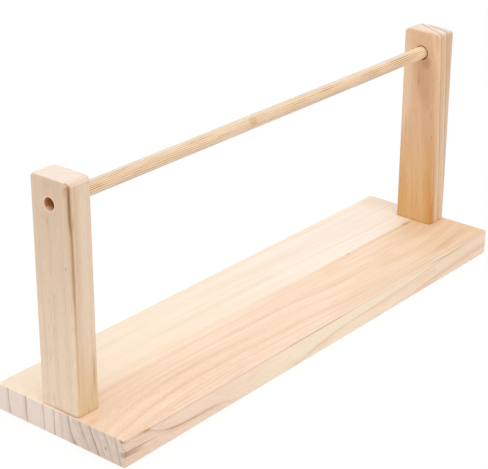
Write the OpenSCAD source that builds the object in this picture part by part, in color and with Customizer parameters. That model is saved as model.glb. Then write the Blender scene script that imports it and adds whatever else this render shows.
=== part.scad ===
// Table rack for ribbon spools: a board, two posts and a rod that lifts out sideways.
// The rack stands on the board's underside. The origin is the middle of that underside,
// +X runs along the rod to the post that the rod comes out of, +Y to the back, +Z up.

/* [Base board] */
// Length of the board, along the rod
base_l = 406; // [300:1:600]
// Width of the board, front to back
base_w = 110; // [80:1:160]
// Thickness of the board
base_t = 19; // [15:0.5:28]
// Radius of the board's sanded edges
base_ease = 1; // [0.4:0.1:2]

/* [Posts] */
// Thickness of a post, along the rod
post_t = 19; // [17:0.5:28]
// Width of a post, front to back
post_w = 32; // [28:1:50]
// Height of a post above the board
post_h = 153; // [100:1:220]
// Distance from an end of the board to the outer face of its post
post_inset = 1; // [0:0.5:20]
// Radius of a post's upright edges
post_round = 2.5; // [0.5:0.1:4]
// Radius of the front and back corners at a post's top
top_round = 3; // [1:0.5:8]

/* [Rod and its holes] */
// Diameter of the rod
rod_d = 9.5; // [9:0.5:14]
// Chamfer on the rod's two ends
rod_chamfer = 0.6; // [0.2:0.1:1.5]
// Distance from a post's top down to the axis of its hole
hole_drop = 16; // [14:0.5:40]
// Play of the rod in its holes, on the diameter
rod_play = 1.4; // [0.8:0.1:3]
// Gap left between the lying rod and the bottom of its holes
rod_seat_gap = 0.5; // [0.1:0.05:0.6]
// Depth of the left post's socket, from the inner face
socket_depth = 12; // [6:0.5:14]
// Diameter of the hole through which the rod is pushed out of its socket
push_hole_d = 8; // [5:0.5:8.5]
// Gap between the rod's end and the socket's floor
rod_end_gap = 0.5; // [0.2:0.1:2]
// How far the rod's free end stays behind the right post's outer face
rod_end_recess = 0.5; // [0:0.1:3]

/* [Screws] */
// Outer diameter of a screw's thread
screw_d = 4; // [3:0.5:5]
// Length of a screw, head included
screw_l = 40; // [35:1:60]
// Diameter of a screw's countersunk head
screw_head_d = 8; // [7:0.5:10]
// Length of a screw's point
screw_point = 5; // [3:0.5:8]
// Distance between the two screws of a post, front to back
screw_pitch = 16; // [14:0.5:18]
// How far the heads are sunk below the board's underside
screw_sink = 0.4; // [0.2:0.1:1]
// Radial gap round a screw in the board
screw_clearance = 0.25; // [0.1:0.05:0.4]
// Radial gap round a thread in the post, where it has cut its own way
thread_clearance = 0.05; // [0.02:0.01:0.1]
// Depth of the hole beyond a screw's point
pilot_extra = 2; // [1:0.5:4]
// Width of each arm of a head's cross recess
recess_w = 1.1; // [0.8:0.1:1.4]
// Width of the cross recess at its mouth, from arm end to arm end
recess_mouth_d = 4.6; // [3.5:0.1:5]
// Width of the cross recess at its floor
recess_floor_d = 2; // [1.5:0.1:2.4]
// Depth of the cross recess
recess_depth = 2.2; // [1.2:0.1:2.4]

/* [Hidden] */
$fn = 64;

// Overrun of a cutting shape past the face that it cuts
cut = 1;

left = -1;
right = 1;
front = -1;
back = 1;

// Middle of a post along the rod, measured from the middle of the board
post_x = base_l / 2 - post_inset - post_t / 2;

// The holes and the rod that lies in them
hole_d = rod_d + rod_play;
hole_z = base_t + post_h - hole_drop;
rod_z = hole_z - rod_play / 2 + rod_seat_gap;
rod_start = -post_x + post_t / 2 - socket_depth + rod_end_gap;
rod_stop = post_x + post_t / 2 - rod_end_recess;
rod_l = rod_stop - rod_start;

// A countersunk head of 90 degrees, down to the shank
screw_head_h = (screw_head_d - screw_d) / 2;

pine = "#e3c193";
pale_pine = "#e9cba0";
tan_pine = "#d9b182";
dowel_wood = "#ecd3a6";
zinc = "#c9c8c4";

// A rectangle about the origin with round corners
module rounded_rectangle(width, height, radius) {
    square([width - 2 * radius, height], center = true);
    square([width, height - 2 * radius], center = true);
    for (x = [-1, 1], y = [-1, 1])
        translate([x * (width / 2 - radius), y * (height / 2 - radius)])
            circle(radius);
}

// A board that stands on the XY plane, with every edge sanded round
module sanded_board(length, width, thickness, radius) {
    translate([0, 0, thickness / 2])
        intersection() {
            linear_extrude(thickness, center = true)
                rounded_rectangle(length, width, radius);
            rotate([90, 0, 0])
                linear_extrude(width, center = true)
                    rounded_rectangle(length, thickness, radius);
            rotate([90, 0, 90])
                linear_extrude(length, center = true)
                    rounded_rectangle(width, thickness, radius);
        }
}

// A post seen along the rod: square at the foot, round at the two top corners
module post_outline() {
    translate([-post_w / 2, 0])
        square([post_w, post_h - top_round]);
    translate([-post_w / 2 + top_round, 0])
        square([post_w - 2 * top_round, post_h]);
    for (side = [front, back])
        translate([side * (post_w / 2 - top_round), post_h - top_round])
            circle(top_round);
}

// A post without its holes, standing on the XY plane
module post_blank() {
    intersection() {
        linear_extrude(post_h)
            rounded_rectangle(post_t, post_w, post_round);
        rotate([90, 0, 90])
            linear_extrude(post_t, center = true)
                post_outline();
    }
}

// Places its children at the two screws under one post, on the board's underside
module at_post_screws(side) {
    for (row = [front, back])
        translate([side * post_x, row * screw_pitch / 2, 0])
            children();
}

// A countersunk screw's outline turned about Z, head down, grown by a radial gap
module screw_form(gap, length) {
    rotate_extrude()
        polygon([
            [0, screw_sink],
            [screw_head_d / 2 + gap, screw_sink],
            [screw_d / 2 + gap, screw_sink + screw_head_h],
            [screw_d / 2 + gap, length + screw_sink - screw_point],
            [0, length + screw_sink]
        ]);
}

// What a screw needs cut out of the board: countersink, clearance hole and sunk mouth
module screw_way() {
    screw_form(screw_clearance, screw_l + screw_point);
    translate([0, 0, -cut])
        cylinder(r = screw_head_d / 2 + screw_clearance, h = screw_sink + cut);
}

// What a screw's thread cuts out of a post
module pilot_hole() {
    cylinder(r = screw_d / 2 + thread_clearance, h = screw_sink + screw_l + pilot_extra);
}

module base_board() {
    color(pine)
        difference() {
            sanded_board(base_l, base_w, base_t, base_ease);
            for (side = [left, right])
                at_post_screws(side) screw_way();
        }
}

// A post on its place, with the pilot holes of its two screws
module standing_post(side) {
    difference() {
        translate([side * post_x, 0, base_t])
            post_blank();
        at_post_screws(side) pilot_hole();
    }
}

module left_post() {
    color(pale_pine)
        difference() {
            standing_post(left);
            translate([-post_x + post_t / 2 - socket_depth, 0, hole_z])
                rotate([0, 90, 0])
                    cylinder(d = hole_d, h = socket_depth + cut);
            translate([-post_x - post_t / 2 - cut, 0, hole_z])
                rotate([0, 90, 0])
                    cylinder(d = push_hole_d, h = post_t);
        }
}

module right_post() {
    color(tan_pine)
        difference() {
            standing_post(right);
            translate([post_x - post_t / 2 - cut, 0, hole_z])
                rotate([0, 90, 0])
                    cylinder(d = hole_d, h = post_t + 2 * cut);
        }
}

module spool_rod() {
    color(dowel_wood)
        translate([rod_start, 0, rod_z])
            rotate([0, 90, 0])
                rotate_extrude()
                    polygon([
                        [0, 0],
                        [rod_d / 2 - rod_chamfer, 0],
                        [rod_d / 2, rod_chamfer],
                        [rod_d / 2, rod_l - rod_chamfer],
                        [rod_d / 2 - rod_chamfer, rod_l],
                        [0, rod_l]
                    ]);
}

// The cross in a screw's head, narrower towards its floor
module cross_recess() {
    for (turn = [0, 90])
        rotate(turn)
            intersection() {
                cylinder(d1 = recess_mouth_d, d2 = recess_floor_d, h = recess_depth);
                translate([-recess_mouth_d / 2, -recess_w / 2, -cut])
                    cube([recess_mouth_d, recess_w, recess_depth + 2 * cut]);
            }
}

// One screw, on its place under a post
module post_screw(side, row) {
    color(zinc)
        translate([side * post_x, row * screw_pitch / 2, 0])
            difference() {
                screw_form(0, screw_l);
                translate([0, 0, screw_sink])
                    cross_recess();
            }
}

module left_front_screw() { post_screw(left, front); }
module left_back_screw() { post_screw(left, back); }
module right_front_screw() { post_screw(right, front); }
module right_back_screw() { post_screw(right, back); }

base_board();
left_post();
right_post();
spool_rod();
left_front_screw();
left_back_screw();
right_front_screw();
right_back_screw();
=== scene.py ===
"""Looks of a pine spool rack: a board, two posts, a pull-out rod and four screws.

Shapes and wood patterns are worked out in millimetres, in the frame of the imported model, and the
meshes are made in metres. Patterns are solid fields that run through a piece, so that lines meet
at its edges.
"""

import math

import bmesh
import bpy
from mathutils import Matrix, Vector, noise


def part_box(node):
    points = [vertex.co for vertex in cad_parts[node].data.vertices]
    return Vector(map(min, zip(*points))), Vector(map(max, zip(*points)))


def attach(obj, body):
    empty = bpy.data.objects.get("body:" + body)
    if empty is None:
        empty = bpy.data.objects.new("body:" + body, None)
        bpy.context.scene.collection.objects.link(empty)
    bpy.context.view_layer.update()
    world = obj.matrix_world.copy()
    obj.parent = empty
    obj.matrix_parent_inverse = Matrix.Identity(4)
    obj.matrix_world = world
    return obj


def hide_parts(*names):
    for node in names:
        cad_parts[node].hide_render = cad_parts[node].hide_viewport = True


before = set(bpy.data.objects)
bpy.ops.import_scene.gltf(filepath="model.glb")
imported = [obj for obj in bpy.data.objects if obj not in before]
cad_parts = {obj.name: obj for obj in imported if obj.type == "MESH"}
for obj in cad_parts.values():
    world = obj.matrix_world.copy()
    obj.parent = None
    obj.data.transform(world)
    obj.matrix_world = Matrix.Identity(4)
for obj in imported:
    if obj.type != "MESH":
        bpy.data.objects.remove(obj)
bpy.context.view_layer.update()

MM = 0.001

# The camera, fitted to the rack's edges in the photograph
CAMERA_AT = (-767.5 * MM, -612.8 * MM, 503.4 * MM)
CAMERA_TARGET = (-25.35 * MM, 0.0, 77.0 * MM)
CAMERA_ROLL = math.radians(0.21)
CAMERA_LENS = 114.67
SENSOR_WIDTH = 36.0

# Light
WORLD_LEVEL = 0.9
KEY_POWER = 11.0
KEY_SIZE = 1.6
KEY_AT = (-0.55, -0.75, 1.9)

# Floor: what it throws back, what it shows of a shadow and what it gives off
FLOOR_SPAN = 30.0
FLOOR_BOUNCE = 0.8
FLOOR_SHADE = 0.2
FLOOR_GLOW = 0.8

# Edges and holes, in millimetres
BOARD_EASE = 1.0
EASE_WANDER = 0.25
LEAST_EASE = 0.08
POST_ROUND = 2.5
TOP_ROUND = 3.0
TOP_EASE = 0.45
FOOT_EASE = 0.3
PUSH_HOLE_Z = 156.0
PUSH_HOLE_D = 8.0
SOCKET_FLOOR_X = -195.0
ROD_GAP = 0.5
RIGHT_HOLE_Y = -0.35
RIGHT_HOLE_Z = 155.8
RIM_EASE = 0.3
ROD_END_ROUND = 0.6
HOLE_RAGGED = 0.05
ROD_UNEVEN = 0.02
CUT_OVERLAP = 1.0
WELD_GAP = 0.002
SLIVER = 0.001

# Edges sharper than these angles are shaded as edges
SHARP_ANGLE = math.radians(38)
SCREW_SHARP_ANGLE = math.radians(32)

# Spacing of cross-sections, in millimetres, and sides of round shapes
BOARD_STEP = 14.0
POST_STEP = 12.0
ROD_STEP = 6.0
THREAD_STEP = 0.22
SCREW_WAY_SIDES = 40
PILOT_SIDES = 32
HOLE_SIDES = 64
ROD_SIDES = 48
SCREW_SIDES = 24

# Screws, in millimetres
SCREW_D = 4.0
SCREW_CORE_D = 2.9
SCREW_HEAD_D = 8.0
SCREW_HEAD_H = 2.0
SCREW_POINT = 5.0
SCREW_CLEAR = 0.02
SCREW_SINK = 0.4
THREAD_PITCH = 1.8
THREAD_FLANK = 0.42
SHANK_L = 14.0
RECESS_W = 1.1
RECESS_CORNER = 0.2
RECESS_MOUTH_D = 4.6
RECESS_FLOOR_D = 2.0
RECESS_DEPTH = 2.2
CLEARANCE_D = 4.5
COUNTERSINK_D = 8.5
PILOT_D = 4.1
PILOT_TOP_Z = 42.4


def box_mm(node):
    """A node's lowest and highest corners, in millimetres."""
    low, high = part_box(node)
    return low / MM, high / MM


BOARD_LOW, BOARD_HIGH = box_mm("base_board")
LEFT_LOW, LEFT_HIGH = box_mm("left_post")
RIGHT_LOW, RIGHT_HIGH = box_mm("right_post")
ROD_LOW, ROD_HIGH = box_mm("spool_rod")
ROD_AXIS_Z = (ROD_LOW.z + ROD_HIGH.z) / 2
ROD_HOLE_D = ROD_HIGH.y - ROD_LOW.y + 2 * ROD_GAP
SCREW_NODES = ["left_front_screw", "left_back_screw", "right_front_screw", "right_back_screw"]


def screw_centre(node):
    """The point on the table under a screw's middle, in millimetres."""
    low, high = box_mm(node)
    return ((low.x + high.x) / 2, (low.y + high.y) / 2, 0.0)


def srgb(red, green, blue):
    """A colour given as 0 to 255 on screen, as a linear colour for a shader."""
    linear = []
    for level in (red, green, blue):
        share = level / 255
        if share <= 0.04045:
            linear.append(share / 12.92)
        else:
            linear.append(((share + 0.055) / 1.055) ** 2.4)
    return (*linear, 1.0)


# Building meshes


def new_object(name, data):
    holder = bpy.data.objects.new(name, data)
    bpy.context.scene.collection.objects.link(holder)
    return holder


def mesh_from(name, points, faces):
    """An object from points in millimetres."""
    mesh = bpy.data.meshes.new(name)
    mesh.from_pydata([Vector(point) * MM for point in points], [], faces)
    mesh.validate()
    return new_object(name, mesh)


def rounded_outline(half_a, half_b, radius, arc_steps, flat_steps):
    """A rounded rectangle as points, counter-clockwise, with its straight stretches cut up."""
    corners = []
    for quarter, (sign_a, sign_b) in enumerate([(1, 1), (-1, 1), (-1, -1), (1, -1)]):
        arc = []
        for step in range(arc_steps + 1):
            angle = math.pi / 2 * (quarter + step / arc_steps)
            arc.append((
                sign_a * (half_a - radius) + radius * math.cos(angle),
                sign_b * (half_b - radius) + radius * math.sin(angle),
            ))
        corners.append(arc)
    outline = []
    for quarter, arc in enumerate(corners):
        outline.extend(arc)
        start = Vector(arc[-1])
        stop = Vector(corners[(quarter + 1) % 4][0])
        count = flat_steps[quarter % 2]
        for step in range(1, count):
            outline.append(tuple(start.lerp(stop, step / count)))
    return outline


def skin(name, rings):
    """A closed skin over rings of equally many points, with flat ends."""
    count = len(rings[0])
    points = [point for ring in rings for point in ring]
    faces = []
    for row in range(len(rings) - 1):
        for column in range(count):
            after = (column + 1) % count
            faces.append((
                row * count + column,
                row * count + after,
                (row + 1) * count + after,
                (row + 1) * count + column,
            ))
    faces.append(tuple(reversed(range(count))))
    faces.append(tuple(range((len(rings) - 1) * count, len(rings) * count)))
    return mesh_from(name, points, faces)


def eased_stations(start, stop, ease_start, ease_stop, spacing, arc_steps=4):
    """Places along a bar with how far its skin draws in there, to round both ends."""
    stations = []
    for step in range(arc_steps + 1):
        angle = math.pi / 2 * step / arc_steps
        stations.append((
            start + ease_start * (1 - math.cos(angle)),
            ease_start * (1 - math.sin(angle)),
            0.0,
        ))
    count = max(2, round((stop - start) / spacing))
    for step in range(1, count):
        stations.append((start + (stop - start) * step / count, 0.0, 0.0))
    for step in range(arc_steps + 1):
        angle = math.pi / 2 * step / arc_steps
        stations.append((
            stop - ease_stop * (1 - math.sin(angle)),
            0.0,
            ease_stop * (1 - math.cos(angle)),
        ))
    return stations


def turned(name, profile, axis_point, axis, sides, wobble=None):
    """A solid turned about an axis from (distance along, radius). A wobble adds to the radius."""
    direction = Vector(axis).normalized()
    turn = Vector((0, 0, 1)).rotation_difference(direction).to_matrix()
    rings = []
    for along, radius in profile:
        ring = []
        for side in range(sides):
            angle = 2 * math.pi * side / sides
            reach = radius
            if wobble:
                reach += wobble(along, angle)
            point = Vector((reach * math.cos(angle), reach * math.sin(angle), along))
            ring.append(Vector(axis_point) + turn @ point)
        rings.append(ring)
    return skin(name, rings)


def cut(piece, cutters):
    """Cuts the cutters out of the piece and removes them."""
    for cutter in cutters:
        modifier = piece.modifiers.new("cut", "BOOLEAN")
        modifier.operation = "DIFFERENCE"
        modifier.solver = "EXACT"
        modifier.object = cutter
    apply_modifiers(piece)
    for cutter in cutters:
        bpy.data.objects.remove(cutter)


def apply_modifiers(piece):
    bpy.context.view_layer.update()
    depsgraph = bpy.context.evaluated_depsgraph_get()
    mesh = bpy.data.meshes.new_from_object(piece.evaluated_get(depsgraph))
    piece.modifiers.clear()
    piece.data = mesh


def tidy_mesh(piece, sharp_angle=SHARP_ANGLE):
    """Welds the mesh, turns its faces outward and shades it with flats that look flat."""
    solid = bmesh.new()
    solid.from_mesh(piece.data)
    bmesh.ops.remove_doubles(solid, verts=solid.verts, dist=WELD_GAP * MM)
    bmesh.ops.dissolve_degenerate(solid, edges=solid.edges, dist=SLIVER * MM)
    bmesh.ops.recalc_face_normals(solid, faces=solid.faces)
    solid.to_mesh(piece.data)
    solid.free()
    piece.data.shade_smooth()
    piece.data.set_sharp_from_angle(angle=sharp_angle)
    weighted = piece.modifiers.new("flat_faces", "WEIGHTED_NORMAL")
    weighted.mode = "FACE_AREA"
    weighted.weight = 100
    weighted.keep_sharp = True
    apply_modifiers(piece)


def finish_piece(piece, material, body, nodes):
    piece.data.materials.clear()
    piece.data.materials.append(material)
    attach(piece, body)
    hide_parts(*nodes)


# Node fields for materials


class Field:
    """A value that varies over a surface and takes part in plain arithmetic."""

    def __init__(self, paint, socket):
        self.paint = paint
        self.socket = socket

    def __add__(self, other):
        return self.paint.calc("ADD", self, other)

    def __radd__(self, other):
        return self.paint.calc("ADD", other, self)

    def __sub__(self, other):
        return self.paint.calc("SUBTRACT", self, other)

    def __rsub__(self, other):
        return self.paint.calc("SUBTRACT", other, self)

    def __mul__(self, other):
        return self.paint.calc("MULTIPLY", self, other)

    def __truediv__(self, other):
        return self.paint.calc("DIVIDE", self, other)

    def rise(self, low, high):
        """0 where the value is below low, 1 above high and smooth between."""
        node = self.paint.nodes.new("ShaderNodeMapRange")
        node.interpolation_type = "SMOOTHSTEP"
        self.paint.plug(node.inputs["Value"], self)
        self.paint.plug(node.inputs["From Min"], low)
        self.paint.plug(node.inputs["From Max"], high)
        return Field(self.paint, node.outputs["Result"])

    def fall(self, low, high):
        """1 where the value is below low, 0 above high and smooth between."""
        return 1 - self.rise(low, high)

    def band(self, middle, reach):
        """1 where the value is the middle, falling smoothly to 0 at that reach on either side."""
        return self.paint.calc("ABSOLUTE", self - middle).fall(0, reach)


class Paint:
    """A material's node tree, built up by short calls."""

    def __init__(self, name):
        self.material = bpy.data.materials.new(name)
        self.material.use_nodes = True
        self.nodes = self.material.node_tree.nodes
        self.links = self.material.node_tree.links
        self.shader = self.nodes["Principled BSDF"]
        self.coordinates = self.nodes.new("ShaderNodeTexCoord")

    def plug(self, socket, value):
        if isinstance(value, Field):
            self.links.new(value.socket, socket)
        else:
            socket.default_value = value

    def calc(self, operation, *values):
        node = self.nodes.new("ShaderNodeMath")
        node.operation = operation
        for socket, value in zip(node.inputs, values):
            self.plug(socket, value)
        return Field(self, node.outputs[0])

    def split(self, socket):
        node = self.nodes.new("ShaderNodeSeparateXYZ")
        self.links.new(socket, node.inputs[0])
        return [Field(self, output) for output in node.outputs]

    def place(self):
        """The surface point in the object's own frame, in millimetres."""
        return [part * (1 / MM) for part in self.split(self.coordinates.outputs["Object"])]

    def facing(self, axis):
        """How far the surface faces along one axis, from 0 to 1."""
        return self.calc("ABSOLUTE", self.split(self.coordinates.outputs["Normal"])["xyz".index(axis)])

    def spot(self, a, b, at_a, at_b, reach_a, reach_b):
        """1 at a point, falling smoothly to 0 on an ellipse round it."""
        far_a = (a - at_a) / reach_a
        far_b = (b - at_b) / reach_b
        return (far_a * far_a + far_b * far_b).fall(0, 1)

    def noise(self, a, b, c, detail=2.0, rough=0.5):
        """Smooth noise about 0, mostly within -0.5 to 0.5."""
        vector = self.nodes.new("ShaderNodeCombineXYZ")
        for socket, value in zip(vector.inputs, (a, b, c)):
            self.plug(socket, value)
        node = self.nodes.new("ShaderNodeTexNoise")
        self.links.new(vector.outputs[0], node.inputs["Vector"])
        node.inputs["Scale"].default_value = 1.0
        node.inputs["Detail"].default_value = detail
        node.inputs["Roughness"].default_value = rough
        return (Field(self, node.outputs[0]) - 0.5) * 2.0

    def curve(self, value, points, straight=False):
        """A curve through given points of (place, height), level beyond its ends."""
        start = points[0][0]
        span = points[-1][0] - start
        heights = [point[1] for point in points]
        low, high = min(heights), max(heights)
        node = self.nodes.new("ShaderNodeFloatCurve")
        line = node.mapping.curves[0]
        while len(line.points) < len(points):
            line.points.new(0.5, 0.5)
        for knot, (place, height) in zip(line.points, points):
            knot.location = ((place - start) / span, (height - low) / (high - low))
            knot.handle_type = "VECTOR" if straight else "AUTO"
        node.mapping.update()
        self.plug(node.inputs["Value"], (value - start) / span)
        return Field(self, node.outputs[0]) * (high - low) + low

    def pick(self, count, values):
        """The value that belongs to a whole number."""
        return self.curve(count, list(enumerate(values)), straight=True)

    def mix(self, amount, *colours):
        """From one colour to another by an amount. A plain colour is given as 0 to 255 on screen."""
        node = self.nodes.new("ShaderNodeMix")
        node.data_type = "RGBA"
        self.plug(node.inputs[0], amount)
        for socket, colour in zip(node.inputs[6:8], colours):
            self.plug(socket, colour if isinstance(colour, Field) else srgb(*colour))
        return Field(self, node.outputs[2])

    def shade(self, colour, factor):
        """The colour made lighter or darker by a factor."""
        node = self.nodes.new("ShaderNodeVectorMath")
        node.operation = "SCALE"
        self.plug(node.inputs[0], colour)
        self.plug(node.inputs["Scale"], factor)
        return Field(self, node.outputs[0])

    def finish(self, colour, roughness, height, relief, specular=0.28):
        """Joins the fields to the shader. Relief is the depth of the bump in millimetres."""
        self.plug(self.shader.inputs["Base Color"], colour)
        self.plug(self.shader.inputs["Roughness"], roughness)
        self.shader.inputs["Specular IOR Level"].default_value = specular
        bump = self.nodes.new("ShaderNodeBump")
        bump.inputs["Strength"].default_value = 0.6
        bump.inputs["Distance"].default_value = relief * MM
        self.plug(bump.inputs["Height"], height)
        self.links.new(bump.outputs[0], self.shader.inputs["Normal"])
        return self.material


class Wood:
    """Fields that the rack's wooden pieces share: growth lines, bands, fibres and sawn ends."""

    def __init__(self, paint, along, ring, across, end):
        self.paint = paint
        self.along = along
        self.ring = ring
        self.across = across
        self.end = end

    def growth_lines(self, gap, ring_number, sharp, soft):
        """A dark line where the gap is 0, fading with it and patchy along the grain, from 0 to 1."""
        paint = self.paint
        line = gap.fall(0.2, sharp) * 0.65
        shadow = gap.fall(0, soft) * 0.35
        patchy = 0.85 + paint.noise(self.along / 55, ring_number * 3.7, self.across / 40, 1) * 0.8
        return (line + shadow) * patchy

    def bands(self):
        """Soft bands that follow the rings over a long way, about 0."""
        return self.paint.noise(self.along / 190, self.ring * 0.16, self.across * 0.04, 3, 0.62)

    def streaks(self):
        """Narrow streaks along the grain, about 0."""
        return self.paint.noise(self.along / 42, self.ring * 0.85, self.across * 0.6, 2, 0.6)

    def fibres(self):
        """Fine fibres along the grain, about 0."""
        return self.paint.noise(self.along / 6, self.ring * 1.4, self.across * 1.4, 3, 0.65)

    def canals(self):
        """Short dark resin canals along the grain, from 0 to 1."""
        dashes = self.paint.noise(self.along / 6, self.ring * 1.9, self.across * 1.9 + 40, 2, 0.5)
        return dashes.rise(0.1, 0.5)

    def pores(self):
        """The speckle, the fine rays and the blotches of a sawn end, about 0."""
        paint = self.paint
        speckle = paint.noise(self.along * 0.3, self.ring * 1.9, self.across * 1.2, 2, 0.6)
        rays = paint.noise(self.along * 0.1, self.ring * 0.8, self.across * 0.12, 2, 0.6)
        blotches = paint.noise(self.along * 0.1, self.ring * 0.25, self.across * 0.22 + 9, 2, 0.6)
        return speckle * 0.35 + rays * 0.45 + blotches * 0.35


def wood_finish(wood, colour, late, canal_amount=0.2, grain_amount=0.09, end_amount=0.12, relief=0.12):
    """Fibres, canals and sawn ends over a wood's own colours, with its roughness and bump."""
    paint = wood.paint
    fibres = wood.fibres()
    canals = wood.canals() * (1 - wood.end)
    pores = wood.pores()
    grain = (fibres * 0.6 + wood.streaks() * 0.5) * grain_amount * (1 - wood.end)
    grain = grain + pores * wood.end * end_amount
    toned = paint.shade(colour, 1 + grain)
    toned = paint.mix(canals * canal_amount, toned, (180, 138, 102))
    roughness = 0.62 + fibres * 0.10 + wood.end * 0.14 - late * 0.06
    height = fibres * 0.35 + late * 0.4 - canals * 0.5 + pores * wood.end * 0.5
    return paint.finish(toned, roughness, height, relief)


def drilled(paint, colour, across, height, radius, inward, rim_reach=0.4):
    """The brown wall of a drilled hole, with painted shade that darkens it inward, a pale rim and torn
    fibres at its foot.
    """
    reach = paint.calc("SQRT", across * across + height * height) - radius
    rim = reach.band(0.75, 0.8) * inward.fall(0.2, 1)
    colour = paint.mix(rim * 0.45, colour, (248, 226, 204))
    streaks = paint.noise(inward * 0.25, across * 1.8, height * 0.9, 2)
    depth = inward + streaks * 3.0
    # Painted shade: the wall's tone turns darker and browner further into the hole
    tone = paint.mix(depth.rise(0.5, 5), (206, 146, 98), (186, 116, 46))
    torn = (height + streaks * 2).fall(-3.3, -1.6) * depth.fall(2, 6)
    tone = paint.mix(torn * 0.85, tone, (228, 192, 160))
    return paint.mix(reach.fall(rim_reach - 0.3, rim_reach) * 0.92, colour, tone)


# Materials

# The board's growth lines: place from the back edge, strength on the top and strength on an end
BOARD_LINES = [
    (-14, 0.2, 0.3), (3, 0.5, 0.8), (19, 0.5, 0.9), (35, 0.6, 0.7), (47.5, 0.5, 0.9),
    (55, 0.4, 0.5), (61, 0.5, 0.7), (67, 0.1, 0.6), (74.5, 0.7, 0.9), (80, 0.1, 0.2),
    (86.5, 0.5, 0.5), (97.5, 0.8, 0.8), (106, 0.5, 0.3), (110, 0.9, 0.4), (113.5, 0.6, 0.3),
    (117, 0.6, 0.3), (122, 0.4, 0.3), (130, 0.3, 0.3),
]


def board_rings(paint, along, back, depth):
    """How far each point of the board lies across the growth rings, which wander along it."""
    drift_back = paint.curve(along, [
        (0, 7), (40, 1.5), (90, -0.5), (200, 0), (280, 2.2), (350, 5), (406, 6.5),
    ])
    drift_middle = paint.curve(along, [
        (0, 7.4), (25, 1), (50, -3), (90, -5.5), (160, -3), (205, -0.5), (255, 5), (285, 6), (340, 4.4),
        (384, 0), (406, -4.5),
    ])
    drift_front = paint.curve(along, [
        (0, 1.5), (20, -0.5), (29, -2.6), (38, -4.1), (54, -5.1), (80, -5.5), (106, -7.6), (130, -8.6),
        (170, -7), (203, -5.2), (263, -3.6), (313, -2.2), (350, -0.9), (406, 0.3),
    ])
    at_front = back.rise(98, 110)
    at_middle = back.rise(52, 80) * (1 - at_front)
    at_back = back.fall(38, 64)
    drift = drift_back * at_back + drift_middle * at_middle + drift_front * at_front
    lean = 0.05 + back.rise(56, 88) * 0.38
    waver = paint.noise(along / 90, back / 14, depth / 14, 1) * 0.8
    ripple = paint.noise(along / 25, back / 3.5, depth / 5, 1) * 0.25
    return back - depth * lean - drift + waver + ripple


def board_latewood(wood):
    """The dark lines where the board's rings end, soft on its faces and thin on its ends."""
    paint = wood.paint
    places = [line[0] for line in BOARD_LINES]
    counted = [(place, count) for count, place in enumerate(places)]
    index = paint.curve(wood.ring, counted, straight=True)
    ring_number = paint.calc("FLOOR", index)
    widths = [after - before for before, after in zip(places, places[1:])] + [8]
    gap = (1 - paint.calc("FRACT", index)) * paint.pick(ring_number, widths)
    on_top = paint.pick(ring_number, [line[1] for line in BOARD_LINES[1:]] + [0.3])
    on_end = paint.pick(ring_number, [line[2] for line in BOARD_LINES[1:]] + [0.3])
    strength = on_top + wood.end * (on_end - on_top)
    crisp = wood.ring.rise(99, 108) * (1 - wood.end)
    sharp = 2.6 - wood.end * 1.1 - crisp * 1.4
    soft = 7.5 - wood.end * 3.0 - crisp * 4.0
    return wood.growth_lines(gap, ring_number, sharp, soft) * strength


def board_pine():
    """A flat-sawn board: pale at the back, peach at the front, with rings that wander."""
    paint = Paint("board_pine")
    x, y, z = paint.place()
    along = x - BOARD_LOW.x
    back = BOARD_HIGH.y - y
    depth = BOARD_HIGH.z - z
    end = paint.facing("x").rise(0.6, 0.95)
    side = paint.facing("y").rise(0.6, 0.95)
    ring = board_rings(paint, along, back, depth)
    wood = Wood(paint, along, ring, depth, end)
    late = board_latewood(wood)
    bands = wood.bands()

    spread = 12.0 - along.rise(40, 320) * 4.5
    middle = 55.0 - along.rise(220, 280) * 2.5
    heart = ((ring - middle + bands * 8) / spread).rise(-0.75, 0.6)
    pale = paint.mix(along.rise(120, 330) * 0.7, (250, 233, 212), (253, 241, 231))
    peach = paint.mix(along.rise(200, 320), (250, 223, 199), (249, 224, 197))
    early = paint.mix(heart, pale, peach)
    late_colour = paint.mix(heart, (239, 211, 179), (222, 182, 148))
    warmth = late * 0.45 + bands.rise(-0.35, 0.45) * 0.35
    warmth = warmth + wood.streaks().rise(0, 0.5) * 0.15
    bolder = along.rise(270, 390) * 0.95 + along.fall(40, 200) * 0.22
    colour = paint.mix(warmth * (1 + bolder * heart), early, late_colour)
    colour = board_marks(paint, colour, along, back, depth)
    colour = paint.mix(side, colour, board_side(paint, along, ring, depth))
    worn_edge = side * along.fall(0.8, 2.6) * 0.7
    sawn = paint.calc("MAXIMUM", end, worn_edge)
    colour = paint.mix(sawn, colour, board_end(paint, late, back, depth))
    colour = board_side_marks(paint, colour, along, back, depth, side)
    busy = heart * along.fall(90, 330) * back.rise(62, 92) * (1 - side)
    coarse = along.fall(20, 120) * back.rise(58, 88)
    canal_amount = 0.04 + busy * 0.34
    grain_amount = 0.1 + side * 0.06 + coarse * 0.12
    end_amount = 0.11 + back.rise(45, 80) * 0.34
    return wood_finish(wood, colour, late, canal_amount, grain_amount, end_amount)


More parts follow.
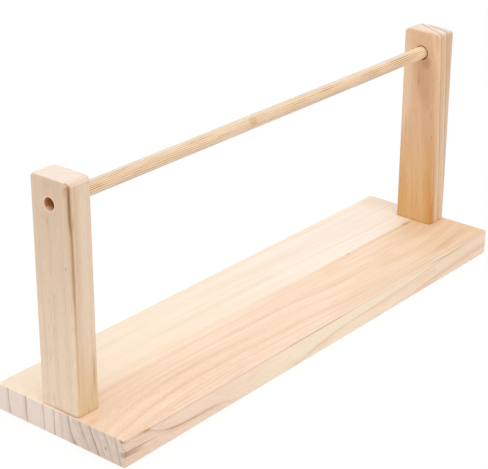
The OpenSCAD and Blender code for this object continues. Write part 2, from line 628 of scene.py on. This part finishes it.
def board_side(paint, along, ring, depth):
    """The long sides: even and pale, with a thin growth line that wanders and a soft one."""
    ground = paint.mix(along.rise(60, 180), (246, 219, 196), (251, 229, 203))
    ground = paint.mix(along.rise(230, 400) * 0.7, ground, (243, 216, 189))
    ground = paint.mix(along.fall(5, 60) * 0.6, ground, (228, 196, 168))
    lens = ring.rise(109.6, 110.4)
    lens_colour = paint.mix(along.rise(80, 160), (246, 219, 200), (252, 236, 208))
    ground = paint.mix(lens * 0.35, ground, lens_colour)
    strength = paint.curve(along, [
        (0, 0.06), (20, 0.3), (36, 0.35), (42, 0.6), (78, 0.55), (88, 0.25), (110, 0.12), (180, 0.15),
        (205, 0.2), (330, 0.19), (406, 0.14),
    ])
    line = ring.band(110, 0.62) * 0.8 + ring.band(109.7, 2.2) * 0.2
    ground = paint.mix(line * strength, ground, (172, 118, 76))
    second = ring.band(104.9, 1.5) * along.rise(270, 330)
    ground = paint.mix(second * 0.3, ground, (206, 156, 108))
    clouds = paint.noise(along / 36, ring / 5, depth / 6, 2)
    return paint.mix(clouds.rise(0, 0.5) * 0.45, ground, (238, 202, 166))


def board_side_marks(paint, colour, along, back, depth, side):
    """The front side's dark edge line, its resin pocket at the left and an amber spot."""
    front = side * back.rise(100, 106)
    edge_strength = paint.curve(along, [
        (0, 0.3), (20, 0.5), (90, 0.35), (140, 0.5), (175, 0.9), (210, 0.95), (228, 0.4), (322, 0.35),
        (336, 0.75), (364, 0.75), (374, 0.3), (406, 0.3),
    ])
    edge = depth.band(1.5, 1.2) * edge_strength * front
    colour = paint.mix(edge * 0.5, colour, (180, 116, 60))
    upper = depth - along * 0.055 - 8.3
    pocket = upper.rise(-0.2, 0.5) * (depth - along * 0.06).fall(11.2, 12.3)
    pocket = pocket * along.fall(9, 19) * (0.45 + along.fall(1, 9) * 0.22)
    colour = paint.mix(pocket * front, colour, (168, 128, 108))
    crack = upper.band(0.1, 0.75) * along.fall(16, 32)
    colour = paint.mix(crack * front * 0.5, colour, (128, 92, 70))
    amber = paint.spot(along, depth, 20, 1.4, 4.5, 2)
    return paint.mix(amber * front * 0.5, colour, (190, 126, 70))


def board_end(paint, late, back, depth):
    """The sawn end: greyer, with thin ring lines, browner and spotted towards the front."""
    forward = back.rise(48, 80)
    ground = paint.mix(forward, (238, 221, 208), (224, 205, 189))
    colour = paint.mix(late * (0.85 + forward * 0.2), ground, (154, 119, 102))
    rosy = back.band(58, 2)
    colour = paint.mix(rosy * 0.3, colour, (214, 176, 164))
    spots = paint.spot(back, depth, 94.5, 11, 1.3, 2)
    spots = spots + paint.spot(back, depth, 110, 10.2, 4, 3)
    spots = spots + paint.spot(back, depth, 108.6, 0.6, 2.6, 1.8) * 1.3
    return paint.mix(spots * 0.55, colour, (150, 112, 90))


def board_marks(paint, colour, along, back, depth):
    """A small knot, a smudge and darker and paler patches on the board's top, each at its place, with
    painted shade tinted by the right post by its foot and behind it.
    """
    top = depth.fall(1, 6)

    def patch(*shape):
        return paint.spot(along, back, *shape) * top

    broken = 0.6 + paint.noise(along / 20, back * 0.8, depth * 0.5, 2) * 0.8
    clouds = paint.noise(along / 48, back / 9, depth / 9, 2)
    cloudy = clouds.rise(-0.1, 0.5) * along.rise(170, 290)
    cloudy = cloudy * back.rise(50, 66)
    colour = paint.mix(cloudy * top * 0.35, colour, (228, 190, 148))
    # Painted shade, tinted orange by the right post, on the top in front of the post's foot
    foot = patch(400, 86, 105, 46)
    colour = paint.mix(foot * 0.5, colour, (230, 194, 156))
    # Painted shade, tinted by the right post, on the top behind it
    shade_behind_post = patch(406, 10, 28, 32)
    colour = paint.mix(shade_behind_post * 0.35, colour, (230, 204, 168))
    corner = patch(0, 88, 60, 46)
    colour = paint.mix(corner * 0.35, colour, (234, 202, 172))
    shaded = patch(272, 103, 75, 15) + patch(50, 73, 62, 18) * 0.7
    colour = paint.mix(shaded * 0.28, colour, (220, 186, 154))
    paler = patch(342, 81, 34, 8) + patch(260, 62, 60, 8) * 0.5 + patch(332, 59, 46, 5.5)
    colour = paint.mix(paler * 0.4, colour, (253, 229, 204))
    warm = patch(392, 66, 46, 16) * broken
    colour = paint.mix(warm * 0.5, colour, (228, 187, 143))
    amber = paint.spot(along, back + along * 0.13, 374, 147.5, 42, 5) * top * broken
    colour = paint.mix(amber * 0.4, colour, (206, 158, 118))
    sandy = patch(3, 80, 8, 4.5)
    colour = paint.mix(sandy * 0.5, colour, (230, 192, 138))
    blush = patch(360, 100, 14, 5)
    colour = paint.mix(blush * 0.15, colour, (228, 168, 132))
    smudge = patch(376, 54.8, 7, 2.6)
    colour = paint.mix(smudge * 0.45, colour, (180, 142, 106))
    knot = patch(301, 54.5, 2.8, 1.3)
    return paint.mix(knot * 0.3, colour, (184, 134, 94))


def left_post_pine():
    """A quiet, beige post with a darker growth line along its front outer edge."""
    paint = Paint("left_post_pine")
    x, y, z = paint.place()
    outer = x - LEFT_LOW.x
    front = y - LEFT_LOW.y
    down = LEFT_HIGH.z - z
    end = paint.facing("z").rise(0.8, 0.97)
    side = paint.facing("y").rise(0.5, 0.9)
    waver = paint.noise(down / 80, outer / 8, front / 8, 1) * 0.8
    ring = outer * 0.74 + front * 0.67 + down * 0.012 + waver
    wood = Wood(paint, down, ring, outer - front, end)
    ring_gap = 6.5
    index = ring / ring_gap + 2.3
    gap = paint.calc("FRACT", index) * ring_gap
    late = wood.growth_lines(gap, paint.calc("FLOOR", index), sharp=3, soft=6)
    early = paint.mix(down.rise(5, 150), (224, 197, 169), (239, 215, 189))
    early = paint.mix(front.rise(20, 32) * 0.4, early, (240, 216, 190))
    near_edge = paint.mix(down.rise(50, 110), (216, 183, 150), (230, 197, 168))
    front_tone = paint.mix(outer.rise(2, 11), near_edge, (233, 209, 184))
    early = paint.mix(side * 0.8, early, front_tone)
    foot = down.rise(96, 148) * side
    early = paint.mix(foot * 0.9, early, (226, 198, 155))
    colour = paint.mix(late * 0.14, early, (196, 160, 128))
    colour = paint.mix(end, colour, paint.mix(late * 0.12, (239, 221, 206), (226, 196, 180)))
    colour = left_post_marks(paint, colour, outer, front, down)
    past_floor = x.rise(SOCKET_FLOOR_X - 0.05, SOCKET_FLOOR_X + 0.05)
    radius = PUSH_HOLE_D / 2 + past_floor * ((ROD_HOLE_D - PUSH_HOLE_D) / 2)
    colour = drilled(paint, colour, y, z - PUSH_HOLE_Z, radius, outer)
    return wood_finish(wood, colour, late, canal_amount=0.27, grain_amount=0.16)


def left_post_marks(paint, colour, outer, front, down):
    """The dark edge line, a pin knot and short dark flecks; the rounded top edge painted pink and
    darker, partly painted shade, with painted shade lines along it; a painted shadow line and painted
    contact shadow at the foot.
    """
    # The rounded top front edge: pink, and darker as partly painted shade, with thin painted shade
    # lines along both its sides
    near_top = down.fall(2.4, 3.2)
    pink = front.fall(2.8, 3.4) * near_top
    colour = paint.mix(pink * 0.55, colour, (238, 209, 190))
    brim = front.band(3.4, 0.7) * near_top
    lower_brim = down.band(3.3, 0.7) * front.fall(0.8, 1.6) * outer.rise(1.6, 3)
    colour = paint.mix((brim + lower_brim * 0.7) * 0.35, colour, (206, 164, 146))

    on_front = front.fall(1.2, 2.4) * down.rise(0.8, 2.2)
    middle = paint.curve(down, [(0, 1), (22, 1.1), (34, 1.6), (75, 1.8), (130, 2.1)])
    reach = paint.curve(down, [(0, 1.3), (60, 1.3), (84, 0.9), (130, 0.8)])
    fading = paint.curve(down, [
        (0, 0.9), (24, 0.85), (34, 0.7), (70, 0.65), (80, 0.48), (100, 0.42), (124, 0.34), (142, 0),
    ])
    glow = outer.fall(1, 6) * on_front * down.fall(60, 120)
    colour = paint.mix(glow * 0.22, colour, (206, 164, 122))
    paler = outer.band(3.6, 1.1) * on_front * down.fall(70, 90)
    paler = paler + outer.fall(0.6, 1.4) * on_front * down.rise(76, 90)
    colour = paint.mix(paler * 0.35, colour, (242, 216, 192))
    line = outer.band(middle, reach) * on_front * fading
    line_colour = paint.mix(down.rise(22, 40), (132, 94, 64), (158, 120, 80))
    colour = paint.mix(line, colour, line_colour)
    nose = paint.spot(outer, front, 0.8, 1.4, 2.2, 2.4) * down.band(3, 2.2)
    colour = paint.mix(nose * 0.5, colour, (176, 118, 80))
    blush = paint.spot(front, down, 2.4, 5.2, 2.4, 3.8) * outer.fall(0.4, 1.2)
    colour = paint.mix(blush * 0.45, colour, (220, 150, 104))
    far_front = TOP_ROUND - front
    far_down = TOP_ROUND - down
    bend = paint.calc("SQRT", far_front * far_front + far_down * far_down)
    curl = bend.band(2.6, 0.9) * front.fall(2.8, 3.6) * down.fall(2.6, 3.6)
    colour = paint.mix(curl * outer.fall(1.2, 2.2) * 0.55, colour, (168, 122, 92))

    pin = paint.spot(front, down, 4.6, 54, 1, 1.3)
    colour = paint.mix(pin * 0.45, colour, (136, 104, 80))
    dashes = paint.noise(down / 11, front * 0.8, outer * 0.2, 2)
    clumps = paint.noise(down / 16, front / 30, 7, 1).rise(-0.1, 0.25)
    row = front.band(18.5, 8.5) * dashes.rise(0, 0.4) * clumps
    colour = paint.mix(row * 0.5, colour, (170, 134, 110))
    streak = paint.spot(outer, down, 15.3, 127, 1.2, 18) + paint.spot(outer, down, 3.3, 25, 0.7, 7)
    colour = paint.mix(streak * on_front * 0.4, colour, (168, 130, 92))
    nick = paint.spot(outer, down, 9.5, 151.5, 1.4, 3) * on_front
    colour = paint.mix(nick * 0.25, colour, (140, 92, 58))
    # Painted contact shadow where the post stands on the board
    contact_shadow = down.rise(151.6, 152.8)
    colour = paint.mix(contact_shadow * 0.25, colour, (168, 116, 78))
    # Painted shadow: a dark line on the outer face where the foot meets the board's end
    gap = down.rise(150.4, 152.4) * outer.fall(0.5, 2) * front.fall(14, 24)
    return paint.mix(gap * 0.3, colour, (136, 94, 62))


def right_post_pine():
    """A more orange post whose rings cross it at a slant."""
    paint = Paint("right_post_pine")
    x, y, z = paint.place()
    inner = x - RIGHT_LOW.x
    back = RIGHT_HIGH.y - y
    down = RIGHT_HIGH.z - z
    end = paint.facing("z").rise(0.6, 0.95)
    side = paint.facing("y").rise(0.35, 0.85)
    waver = paint.noise(down / 70, inner / 9, back / 9, 1) * 0.9
    ring = inner * 0.88 + back * 0.42 + back * back * 0.004 - down * 0.052 + waver
    wood = Wood(paint, down, ring, back, end)
    thickness = RIGHT_HIGH.x - RIGHT_LOW.x
    fan = (inner - thickness + back * 0.56) / (2.4 + back * 0.19) + waver * 0.15
    ring_gap = 6.4
    index = (ring - 18.5) / ring_gap * (1 - end) + fan * end + 6
    share = paint.calc("FRACT", index)
    ring_number = paint.calc("FLOOR", index)
    late = wood.growth_lines(share * ring_gap, ring_number, sharp=1.8 + end * 0.8, soft=4.5)
    light_line = ((1 - share) * ring_gap).fall(0.2, 1.8)

    inner_tone = paint.mix(down.rise(55, 145), (226, 185, 148), (225, 181, 126))
    outward = paint.mix(down.rise(10, 80), (216, 180, 146), (228, 197, 169))
    front_tone = paint.mix(inner.rise(3, 15), (226, 187, 149), outward)
    top_tone = paint.mix(fan.rise(-3, -0.6), (236, 214, 194), (246, 219, 196))
    top_tone = paint.mix(fan.rise(-0.2, 0.8), top_tone, (239, 220, 206))
    near_edge = inner.fall(0.8, 6) * back.rise(6, 26)
    top_tone = paint.mix(near_edge * 0.6, top_tone, (222, 180, 144))
    back_edge = inner.band(0.8, 1.6) * back.fall(8, 18)
    top_tone = paint.mix(back_edge * 0.5, top_tone, (186, 144, 114))
    early = paint.mix(side, inner_tone, front_tone)
    early = paint.mix(end, early, top_tone)
    outermost = fan.rise(0.6, 1)
    strong = 0.1 + side * 0.6 + end * fan.rise(-0.5, -0.3) * (0.9 - outermost * 0.3)
    light_colour = paint.mix(end, (245, 216, 186), (252, 228, 208))
    colour = paint.mix(light_line * strong * 0.75, early, light_colour)
    late_colour = paint.mix(end, (188, 146, 110), (142, 108, 90))
    colour = paint.mix(late * strong, colour, late_colour)
    colour = right_post_marks(paint, colour, inner, back, down, side, end)
    # Painted shade: the deepest wall tone covers the whole hole and its rim's chamfer, so the gap round
    # the rod shows as a dark brown line
    colour = drilled(
        paint, colour, y - RIGHT_HOLE_Y, z - RIGHT_HOLE_Z, ROD_HOLE_D / 2,
        inward=inner + 8, rim_reach=0.6,
    )
    return wood_finish(wood, colour, late, canal_amount=0.3, grain_amount=0.15)


def right_post_marks(paint, colour, inner, back, down, side, end):
    """The reddish flame under the hole, the rod's painted shadow with some grain just below it, the
    pale and orange zones round it, some dark dashes and painted contact shadow at the foot.
    """
    face = (1 - side) * (1 - end) * inner.fall(2, 8)

    def patch(*shape):
        return paint.spot(back, down, *shape) * face

    pale = patch(1, 38, 11, 58)
    colour = paint.mix(pale * 0.75, colour, (242, 212, 182))
    arch = (back - down * 0.22).band(26, 3.4) * down.fall(16, 36) * face
    colour = paint.mix(arch * 0.45, colour, (244, 216, 188))

    sway = paint.noise(down / 30, back / 8, inner, 2) * 3.0
    lean = back - (down - 35) * 0.12 + sway
    flame = paint.spot(lean, down, 20, 38, 11, 25) * face
    colour = paint.mix(flame * 0.43, colour, (188, 140, 108))
    tail = paint.spot(lean, down, 20.5, 72, 8.5, 38) * face
    colour = paint.mix(tail * 0.25, colour, (192, 140, 98))
    # Painted shadow of the rod, with some grain, just under the hole
    neck = patch(21, 23, 5.5, 7)
    colour = paint.mix(neck * 0.4, colour, (162, 116, 86))

    yellow = patch(3, 145, 9, 44) + patch(30, 112, 9, 36)
    colour = paint.mix(yellow * 0.5, colour, (210, 162, 96))
    corner = back.rise(24, 31.5) * inner.fall(1.5, 5) * down.rise(70, 150)
    corner = corner + inner.fall(2, 8) * down.rise(118, 150) * side * 0.6
    colour = paint.mix(corner * 0.6, colour, (206, 140, 70))
    cream = inner.band(7.5, 4) * down.rise(85, 125) * side
    colour = paint.mix(cream * 0.45, colour, (234, 205, 154))

    dashes = patch(14.8, 38, 1.2, 7) * 0.8
    dashes = dashes + patch(5.5, 78, 0.7, 11) + patch(27.5, 63, 0.7, 5) + patch(29, 81, 0.7, 3)
    dashes = dashes + (patch(13.8, 139, 0.7, 14) + patch(18.4, 137, 0.7, 11)) * 0.7
    colour = paint.mix(dashes * 0.35, colour, (160, 108, 72))
    # Painted contact shadow where the post stands on the board
    contact_shadow = down.rise(151.6, 152.8)
    return paint.mix(contact_shadow * 0.3, colour, (150, 96, 56))


def rod_wood():
    """A pale planed dowel with brown lines that come and go along it and one small knot, with a painted
    highlight towards its top and bottom and painted light near the right post.
    """
    paint = Paint("rod_wood")
    x, y, z = paint.place()
    height = z - ROD_AXIS_Z
    end = paint.facing("x").rise(0.6, 0.95)
    sway = paint.noise(x / 110, y / 6, height / 6, 1)
    ring = y * 0.49 + height * 0.87 + x * 0.003 + sway
    wood = Wood(paint, x, ring * 1.6, y - height, end)
    ring_gap = 1.2
    index = ring / ring_gap + 12
    gap = paint.calc("FRACT", index) * ring_gap
    late = wood.growth_lines(gap, paint.calc("FLOOR", index), sharp=0.62, soft=1)
    turn = paint.calc("ARCTAN2", height, y * -1.0)
    # Painted highlight: golden on the side that faces the front, painted paler towards the top and
    # bottom
    heart = turn.band(0.45, 1.3)
    low = paint.mix(x.rise(0, 70), (234, 215, 196), (223, 206, 187))
    low = paint.mix(x.rise(110, 180), low, (244, 217, 190))
    high = paint.mix(x.rise(-180, -90), (223, 212, 190), (232, 219, 196))
    palest = x.rise(30, 100) * x.fall(115, 165)
    high = paint.mix(palest, high, (238, 226, 210))
    pale = paint.mix(height.rise(-2, 2.5), low, high)
    golden = paint.mix(x.rise(60, 190), (239, 209, 175), (242, 210, 172))
    early = paint.mix(heart, pale, golden)
    blush = paint.noise(x / 24, turn * 0.9, 6, 1)
    early = paint.mix(blush.rise(0.08, 0.4) * 0.4, early, (240, 199, 170))
    early = paint.mix(blush.fall(-0.4, -0.08) * 0.4, early, (246, 220, 166))
    # Painted light: brighter and more golden towards the right post, against the shade there, with
    # fainter lines
    painted_light_near_post = x.rise(150, RIGHT_LOW.x)
    early = paint.mix(painted_light_near_post * 0.75, early, (255, 228, 186))
    lined = 0.5 + paint.noise(x / 34, turn * 0.8, 2, 1).rise(-0.2, 0.3) * 0.7
    lined = lined * (1 - painted_light_near_post * 0.4 - x.band(-28, 60) * 0.55)
    colour = paint.mix(late * lined * (0.35 + heart * 0.85), early, (180, 128, 84))
    patchy = 0.75 + paint.noise(x * 0.45, turn * 2.2, 9, 2) * 0.9
    knot = paint.spot(x, turn, -21, 0.45, 5.2, 1.1) * patchy
    colour = paint.mix(knot * 0.36, colour, (170, 122, 78))
    return wood_finish(wood, colour, late, grain_amount=0.28, relief=0.1)


def screw_steel():
    """Zinc-plated steel with a faint yellow cast and fine turning marks."""
    paint = Paint("screw_steel")
    x, y, z = paint.place()
    cast = paint.noise(x * 0.5, y * 0.5, z * 0.12, 3)
    marks = paint.noise(x * 1.3, y * 1.3, z * 14, 2)
    colour = paint.mix(cast * 0.5 + 0.5, (206, 203, 196), (196, 186, 158))
    paint.shader.inputs["Metallic"].default_value = 1.0
    return paint.finish(colour, 0.34 + cast * 0.12 + marks * 0.05, marks, 0.03, specular=0.5)


# Pieces


def drawn(outline, middle, place, order):
    """A flat outline round a middle, at a place along the grain. Order says which axis is which."""
    first, second, grain = ["xyz".index(axis) for axis in order]
    points = []
    for a, b in outline:
        point = Vector()
        point[first] = a
        point[second] = b
        point += middle
        point[grain] = place
        points.append(point)
    return points


def pine_board():
    """The base board: sanded edges that vary a little, and four countersunk screw holes."""
    middle = (BOARD_LOW + BOARD_HIGH) / 2
    half_y = (BOARD_HIGH.y - BOARD_LOW.y) / 2
    half_z = (BOARD_HIGH.z - BOARD_LOW.z) / 2
    stations = eased_stations(BOARD_LOW.x, BOARD_HIGH.x, BOARD_EASE, BOARD_EASE, BOARD_STEP)
    rings = []
    for place, draw_start, draw_stop in stations:
        draw = draw_start + draw_stop
        ease = BOARD_EASE * (1 + EASE_WANDER * noise.noise(Vector((place / 45, 0.3, 0.7))))
        ease = max(ease - draw, LEAST_EASE)
        outline = rounded_outline(
            half_y - draw, half_z - draw, ease, arc_steps=4, flat_steps=(8, 2),
        )
        rings.append(drawn(outline, middle, place, "yzx"))
    board = skin("pine_board", rings)
    profile = [
        (-CUT_OVERLAP, COUNTERSINK_D / 2 + RIM_EASE),
        (0.0, COUNTERSINK_D / 2 + RIM_EASE * 0.6),
        (SCREW_SINK, COUNTERSINK_D / 2),
        (SCREW_SINK + SCREW_HEAD_H, CLEARANCE_D / 2),
        (BOARD_HIGH.z + CUT_OVERLAP, CLEARANCE_D / 2),
    ]
    cutters = []
    for node in SCREW_NODES:
        cutters.append(turned("screw_way", profile, screw_centre(node), (0, 0, 1), SCREW_WAY_SIDES))
    cut(board, cutters)
    tidy_mesh(board)
    finish_piece(board, board_pine(), "frame", ["base_board"])


def post_blank(name, low, high):
    """A post with round upright edges, round front and back corners on top and a crisp foot."""
    middle = (low + high) / 2
    half_x = (high.x - low.x) / 2
    half_y = (high.y - low.y) / 2
    stations = eased_stations(low.z, high.z, FOOT_EASE, TOP_ROUND, POST_STEP, arc_steps=8)
    rings = []
    for place, draw_foot, draw_top in stations:
        side_draw = draw_foot + draw_top * TOP_EASE / TOP_ROUND
        end_draw = draw_foot + draw_top
        outline = rounded_outline(
            half_x - side_draw, half_y - end_draw, POST_ROUND, arc_steps=6, flat_steps=(2, 4),
        )
        rings.append(drawn(outline, middle, place, "xyz"))
    return skin(name, rings)


def torn_rim(seed):
    """The slight raggedness of a drilled hole, as a wobble of its radius."""
    def wobble(along, angle):
        place = Vector((math.cos(angle) * 2, math.sin(angle) * 2, along * 0.4 + seed))
        return HOLE_RAGGED * noise.noise(place)

    return wobble


def hole_cutter(start, stop, across, height, diameter, open_start, open_stop, seed):
    """A drill's way along X, eased where it opens at a face."""
    radius = diameter / 2
    mouth = radius + RIM_EASE
    profile = [(start, radius), (stop, radius)]
    if open_start:
        profile[:1] = [(start - CUT_OVERLAP, mouth), (start, mouth), (start + RIM_EASE, radius)]
    if open_stop:
        profile[-1:] = [(stop - RIM_EASE, radius), (stop, mouth), (stop + CUT_OVERLAP, mouth)]
    return turned("drill_way", profile, (0.0, across, height), (1, 0, 0), HOLE_SIDES, torn_rim(seed))


def pilot_cutters(side):
    """The ways of the screws' pilot holes in the post on one side."""
    profile = [(BOARD_HIGH.z - CUT_OVERLAP, PILOT_D / 2), (PILOT_TOP_Z, PILOT_D / 2)]
    cutters = []
    for node in SCREW_NODES:
        if node.startswith(side):
            cutters.append(turned("pilot_way", profile, screw_centre(node), (0, 0, 1), PILOT_SIDES))
    return cutters


def left_pine_post():
    post = post_blank("left_pine_post", LEFT_LOW, LEFT_HIGH)
    socket = hole_cutter(
        SOCKET_FLOOR_X, LEFT_HIGH.x, 0.0, ROD_AXIS_Z, ROD_HOLE_D,
        open_start=False, open_stop=True, seed=1.0,
    )
    push = hole_cutter(
        LEFT_LOW.x, SOCKET_FLOOR_X + 2 * CUT_OVERLAP, 0.0, PUSH_HOLE_Z, PUSH_HOLE_D,
        open_start=True, open_stop=False, seed=2.0,
    )
    cut(post, [socket, push, *pilot_cutters("left")])
    tidy_mesh(post)
    finish_piece(post, left_post_pine(), "frame", ["left_post"])


def right_pine_post():
    post = post_blank("right_pine_post", RIGHT_LOW, RIGHT_HIGH)
    way = hole_cutter(
        RIGHT_LOW.x, RIGHT_HIGH.x, RIGHT_HOLE_Y, RIGHT_HOLE_Z, ROD_HOLE_D,
        open_start=True, open_stop=True, seed=3.0,
    )
    cut(post, [way, *pilot_cutters("right")])
    tidy_mesh(post)
    finish_piece(post, right_post_pine(), "frame", ["right_post"])


def dowel_rod():
    """The rod: planed a touch out of round, with sanded ends."""
    radius = (ROD_HIGH.y - ROD_LOW.y) / 2
    stations = eased_stations(ROD_LOW.x, ROD_HIGH.x, ROD_END_ROUND, ROD_END_ROUND, ROD_STEP)
    profile = []
    for place, draw_start, draw_stop in stations:
        profile.append((place, radius - draw_start - draw_stop))

    def planed(along, angle):
        place = Vector((along / 30, math.cos(angle), math.sin(angle)))
        return ROD_UNEVEN * noise.noise(place) - ROD_UNEVEN

    rod = turned("dowel_rod", profile, (0.0, 0.0, ROD_AXIS_Z), (1, 0, 0), ROD_SIDES, planed)
    tidy_mesh(rod)
    finish_piece(rod, rod_wood(), "rod", ["spool_rod"])


def cross_recess(low, centre_x, centre_y):
    """Cutters for the two tapered arms of a head's cross recess."""
    mouth = RECESS_MOUTH_D / 2
    levels = [(-CUT_OVERLAP / 2, mouth), (0.0, mouth), (RECESS_DEPTH, RECESS_FLOOR_D / 2)]
    cutters = []
    for turn in (0.0, math.pi / 2):
        spin = Matrix.Rotation(turn, 2)
        rings = []
        for place, reach in levels:
            outline = rounded_outline(
                reach, RECESS_W / 2, RECESS_CORNER, arc_steps=3, flat_steps=(1, 1),
            )
            ring = []
            for point in outline:
                a, b = spin @ Vector(point)
                ring.append(Vector((centre_x + a, centre_y + b, low + place)))
            rings.append(ring)
        cutters.append(skin("recess_arm", rings))
    return cutters


def wood_screw(node):
    """A countersunk wood screw: cross head, plain shank, thread and point."""
    low, high = box_mm(node)
    head_end = low.z + SCREW_HEAD_H
    shank_end = low.z + SHANK_L
    tip = high.z
    head = SCREW_HEAD_D / 2
    core = SCREW_CORE_D / 2
    outer = SCREW_D / 2 - SCREW_CLEAR

    def thread(along, angle):
        """How far the thread stands out of the core at a height and an angle."""
        if along <= shank_end:
            return 0.0
        turns = (along - shank_end) / THREAD_PITCH - angle / (2 * math.pi)
        share = abs((turns % 1.0) - 0.5) * 2
        ridge = max(0.0, 1 - share / THREAD_FLANK)
        start = min(1.0, (along - shank_end) / THREAD_PITCH)
        taper = min(1.0, (tip - along) / SCREW_POINT)
        return (outer - core) * ridge * start * taper

    # The head with its rounded rim, the neck and the shank
    profile = [
        (low.z, head - 0.5),
        (low.z + 0.05, head - 0.12),
        (low.z + 0.25, head - SCREW_CLEAR),
        (low.z + 0.4, head - 0.35),
        (head_end - 0.1, core + 0.45),
        (head_end + 0.4, core + 0.15),
        (shank_end, core + 0.1),
    ]
    rows = round((tip - shank_end) / THREAD_STEP)
    for row in range(1, rows + 1):
        along = shank_end + (tip - shank_end) * row / rows
        taper = min(1.0, (tip - along) / SCREW_POINT)
        profile.append((along, max(core * taper, 0.05)))
    centre = screw_centre(node)
    name = node.replace("screw", "wood_screw")
    screw = turned(name, profile, centre, (0, 0, 1), SCREW_SIDES, thread)
    cut(screw, cross_recess(low.z, centre[0], centre[1]))
    tidy_mesh(screw, SCREW_SHARP_ANGLE)
    return screw


def wood_screws():
    steel = screw_steel()
    for node in SCREW_NODES:
        finish_piece(wood_screw(node), steel, "frame", [node])


# Floor, light and camera


def grey_shader(tree, kind, level, strength=None):
    node = tree.nodes.new(kind)
    node.inputs["Color"].default_value = (level, level, level, 1)
    if strength is not None:
        node.inputs["Strength"].default_value = strength
    return node


def choose_by_ray(tree, unseen, seen, output_kind):
    """One shader for rays from the camera and reflections, and another for all other rays."""
    path = tree.nodes.new("ShaderNodeLightPath")
    direct = path.outputs["Is Camera Ray"]
    for name in ("Is Glossy Ray", "Is Transmission Ray"):
        either = tree.nodes.new("ShaderNodeMath")
        either.operation = "MAXIMUM"
        tree.links.new(direct, either.inputs[0])
        tree.links.new(path.outputs[name], either.inputs[1])
        direct = either.outputs[0]
    choose = tree.nodes.new("ShaderNodeMixShader")
    for socket, source in zip(choose.inputs, (direct, unseen.outputs[0], seen.outputs[0])):
        tree.links.new(source, socket)
    output = tree.nodes.new(output_kind)
    tree.links.new(choose.outputs[0], output.inputs["Surface"])


def white_floor():
    half = FLOOR_SPAN / 2 / MM
    corners = [(-half, -half, 0), (half, -half, 0), (half, half, 0), (-half, half, 0)]
    floor = mesh_from("floor", corners, [(0, 1, 2, 3)])
    material = bpy.data.materials.new("white_floor")
    material.use_nodes = True
    tree = material.node_tree
    tree.nodes.clear()
    bounce = grey_shader(tree, "ShaderNodeBsdfDiffuse", FLOOR_BOUNCE)
    shade = grey_shader(tree, "ShaderNodeBsdfDiffuse", FLOOR_SHADE)
    glow = grey_shader(tree, "ShaderNodeEmission", 1, FLOOR_GLOW)
    white = tree.nodes.new("ShaderNodeAddShader")
    tree.links.new(shade.outputs[0], white.inputs[0])
    tree.links.new(glow.outputs[0], white.inputs[1])
    choose_by_ray(tree, bounce, white, "ShaderNodeOutputMaterial")
    floor.data.materials.append(material)


def white_world():
    world = bpy.data.worlds.new("white_world")
    world.use_nodes = True
    bpy.context.scene.world = world
    tree = world.node_tree
    tree.nodes.clear()
    light = grey_shader(tree, "ShaderNodeBackground", 1, WORLD_LEVEL)
    white = grey_shader(tree, "ShaderNodeBackground", 1, 1.0)
    choose_by_ray(tree, light, white, "ShaderNodeOutputWorld")


def key_light():
    lamp = bpy.data.lights.new("key_light", "AREA")
    lamp.energy = KEY_POWER
    lamp.shape = "SQUARE"
    lamp.size = KEY_SIZE
    holder = new_object("key_light", lamp)
    holder.location = KEY_AT
    holder.rotation_euler = (-Vector(KEY_AT)).to_track_quat("-Z", "Y").to_euler()


def camera():
    data = bpy.data.cameras.new("camera")
    data.sensor_fit = "HORIZONTAL"
    data.sensor_width = SENSOR_WIDTH
    data.lens = CAMERA_LENS
    holder = new_object("camera", data)
    look = (Vector(CAMERA_TARGET) - Vector(CAMERA_AT)).to_track_quat("-Z", "Y").to_matrix()
    roll = Matrix.Rotation(CAMERA_ROLL, 3, "Z")
    holder.matrix_world = Matrix.Translation(CAMERA_AT) @ (look @ roll).to_4x4()
    bpy.context.scene.camera = holder


camera()
white_floor()
white_world()
key_light()
pine_board()
left_pine_post()
right_pine_post()
dowel_rod()
wood_screws()
bpy.context.scene.view_settings.view_transform = "Standard"
